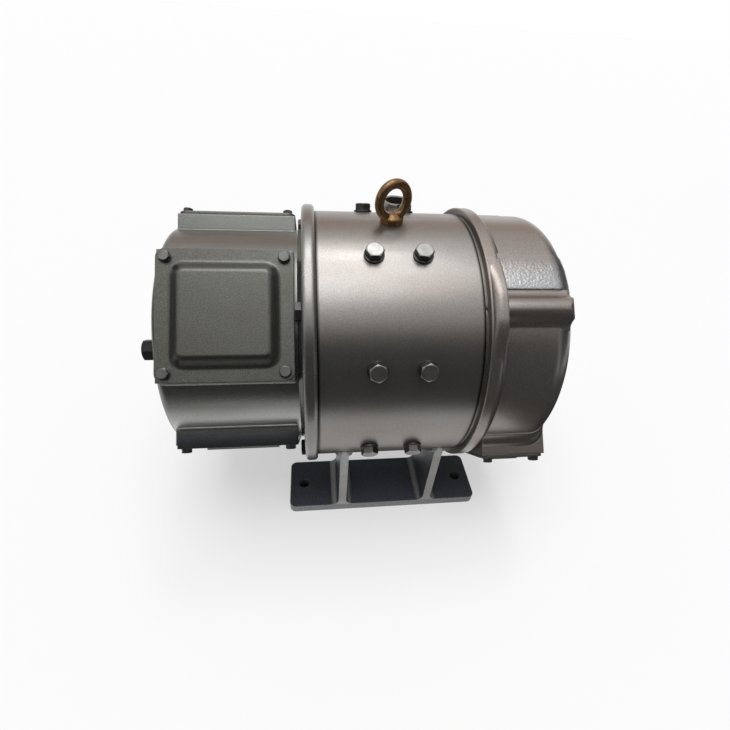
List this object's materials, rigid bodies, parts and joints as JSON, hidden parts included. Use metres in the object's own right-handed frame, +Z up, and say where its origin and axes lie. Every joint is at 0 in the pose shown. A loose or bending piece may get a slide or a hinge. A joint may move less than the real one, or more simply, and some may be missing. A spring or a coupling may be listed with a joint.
{
  "type": "dc motor",
  "caption": "Foot-mounted drip-proof dc motor with a round steel frame, cast end shields with window covers, lifting eye, side terminal box and a keyed drive shaft.",
  "frame": {"origin": "centre of the foot bolt pattern, on the base plane", "axes": "+X along the shaft towards the drive end, +Z up, +Y towards the terminal box"},
  "size_m": [0.5077, 0.3868, 0.395],
  "materials": {
    "frame_paint": "silver-grey metallic enamel, satin",
    "foot_paint": "silver-grey enamel over mild steel plate",
    "shield_casting": "grey-painted iron casting, slightly rough",
    "cover_paint": "speckled hammer-finish grey paint",
    "bolt_steel": "hexagon bolts, painted over with the frame",
    "bright_steel": "turned and ground steel",
    "eye_zinc": "yellow-passivated forged steel",
    "pole_steel": "laminated pole steel",
    "core_steel": "stacked armature laminations",
    "copper_coil": "varnished copper winding",
    "commutator_copper": "turned copper bars with a brown skin",
    "hub_moulding": "steel hub with mica insulation",
    "fan_metal": "cast aluminium",
    "brush_carbon": "electrographite, matt",
    "holder_brass": "cast brass",
    "rocker_paint": "cast ring with red insulating varnish",
    "spring_steel": "rolled spring strip",
    "gasket_rubber": "flat rubber sheet",
    "felt": "pressed felt",
    "board_resin": "pressed resin board",
    "stud_brass": "brass studs and nuts"
  },
  "bodies": {
    "frame": {"yoke": "frame_paint", "foot_plates": "foot_paint", "foot_ribs": "foot_paint", "main_pole_cores": "pole_steel", "interpole_cores": "pole_steel", "main_field_coils": "copper_coil", "interpole_coils": "copper_coil", "pole_bolts": "bolt_steel", "commutator_shield_bolts": "bolt_steel", "drive_shield_bolts": "bolt_steel", "commutator_end_shield": "shield_casting", "drive_end_shield": "shield_casting", "upper_window_covers": "cover_paint", "air_inlet_covers": "cover_paint", "air_outlet_covers": "cover_paint", "window_gaskets": "gasket_rubber", "cover_screws": "bolt_steel", "commutator_bearing_outer_ring": "bright_steel", "drive_bearing_outer_ring": "bright_steel", "commutator_outer_cap": "shield_casting", "commutator_inner_cap": "shield_casting", "drive_outer_cap": "shield_casting", "drive_inner_cap": "shield_casting", "shaft_felt_seal": "felt", "bearing_preload_ring": "spring_steel", "bearing_cap_screws": "bolt_steel", "rocker_lock_bolt": "bolt_steel", "terminal_box": "shield_casting", "terminal_lid": "frame_paint", "terminal_gasket": "gasket_rubber", "terminal_board": "board_resin", "terminal_studs": "stud_brass", "terminal_lid_screws": "bolt_steel", "cable_entry_hub": "shield_casting", "eyebolt": "eye_zinc"},
    "rotor": {"shaft": "bright_steel", "armature_core": "core_steel", "armature_slot_coils": "copper_coil", "drive_end_winding": "copper_coil", "commutator_end_winding": "copper_coil", "commutator_bars": "commutator_copper", "commutator_hub": "hub_moulding", "cooling_fan": "fan_metal", "commutator_bearing_inner_ring": "bright_steel", "drive_bearing_inner_ring": "bright_steel"},
    "commutator_balls": {"commutator_ball_cage": "bright_steel"},
    "drive_balls": {"drive_ball_cage": "bright_steel"},
    "rocker": {"brush_rocker": "rocker_paint", "brush_arms": "bright_steel", "brush_holders": "holder_brass"},
    "brush_1": {"brush_1": "brush_carbon", "brush_spring_1": "spring_steel"},
    "brush_2": {"brush_2": "brush_carbon", "brush_spring_2": "spring_steel"},
    "brush_3": {"brush_3": "brush_carbon", "brush_spring_3": "spring_steel"},
    "brush_4": {"brush_4": "brush_carbon", "brush_spring_4": "spring_steel"}
  },
  "joints": [
    {"name": "rotor_spin", "type": "hinge", "parent": "frame", "child": "rotor", "pos_m": [0, 0, 0.2], "axis": [1, 0, 0], "continuous": true},
    {"name": "commutator_cage_spin", "type": "hinge", "parent": "frame", "child": "commutator_balls", "pos_m": [0, 0, 0.2], "axis": [1, 0, 0], "continuous": true},
    {"name": "drive_cage_spin", "type": "hinge", "parent": "frame", "child": "drive_balls", "pos_m": [0, 0, 0.2], "axis": [1, 0, 0], "continuous": true},
    {"name": "rocker_shift", "type": "hinge", "parent": "frame", "child": "rocker", "pos_m": [0, 0, 0.2], "axis": [1, 0, 0], "range_deg": [-6, 6]},
    {"name": "brush_1_lift", "type": "slide", "parent": "rocker", "child": "brush_1", "axis": [0, 0.9239, 0.3827], "range_m": [0, 0.008], "stiffness_N_per_m": 500, "springref_m": -0.02},
    {"name": "brush_2_lift", "type": "slide", "parent": "rocker", "child": "brush_2", "axis": [0, -0.3827, 0.9239], "range_m": [0, 0.008], "stiffness_N_per_m": 500, "springref_m": -0.02},
    {"name": "brush_3_lift", "type": "slide", "parent": "rocker", "child": "brush_3", "axis": [0, -0.9239, -0.3827], "range_m": [0, 0.008], "stiffness_N_per_m": 500, "springref_m": -0.02},
    {"name": "brush_4_lift", "type": "slide", "parent": "rocker", "child": "brush_4", "axis": [0, 0.3827, -0.9239], "range_m": [0, 0.008], "stiffness_N_per_m": 500, "springref_m": -0.02}
  ],
  "couplings": [
    {"joint": "commutator_cage_spin", "follows": "rotor_spin", "ratio": 0.38261},
    {"joint": "drive_cage_spin", "follows": "rotor_spin", "ratio": 0.38}
  ]
}
